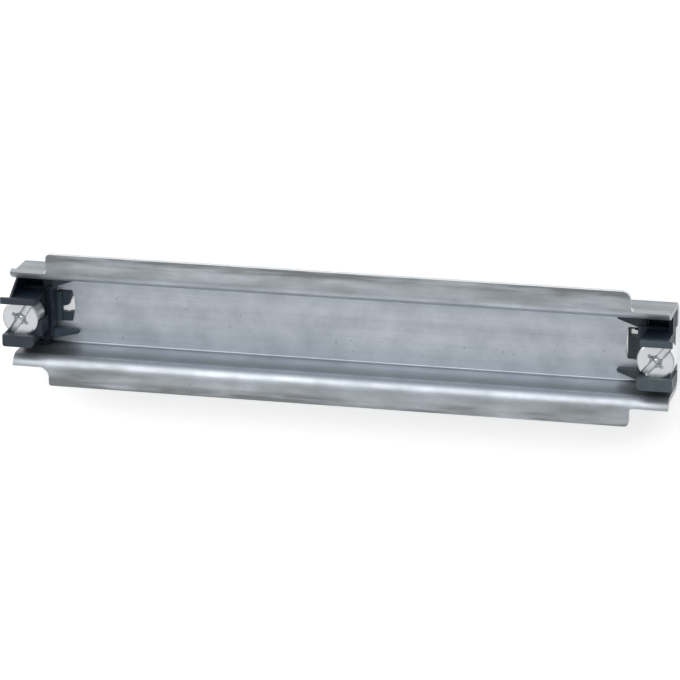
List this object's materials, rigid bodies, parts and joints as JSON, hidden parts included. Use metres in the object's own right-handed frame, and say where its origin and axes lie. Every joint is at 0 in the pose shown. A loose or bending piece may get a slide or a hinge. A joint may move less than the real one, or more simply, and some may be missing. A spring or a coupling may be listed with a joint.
{
  "type": "hat rail with captive screw holders",
  "caption": "Top-hat mounting rail of zinc-coated sheet steel, its flanges notched at the ends, with black moulded holders that carry captive screws.",
  "frame": {"origin": "middle of the back face of the rail's web, halfway along the rail", "axes": "+X along the rail, +Y across it, +Z out of its open side"},
  "size_m": [0.1734, 0.035, 0.0171],
  "materials": {
    "galvanised_steel": "satin, zinc-coated strip with fine rolling lines",
    "black_plastic": "satin moulded",
    "zinc_plated_screw": "bright zinc plating"
  },
  "bodies": {
    "root": {"rail": "galvanised_steel", "screw_holder_left": "black_plastic", "screw_holder_right": "black_plastic", "screw_left": "zinc_plated_screw", "screw_right": "zinc_plated_screw"}
  },
  "joints": []
}
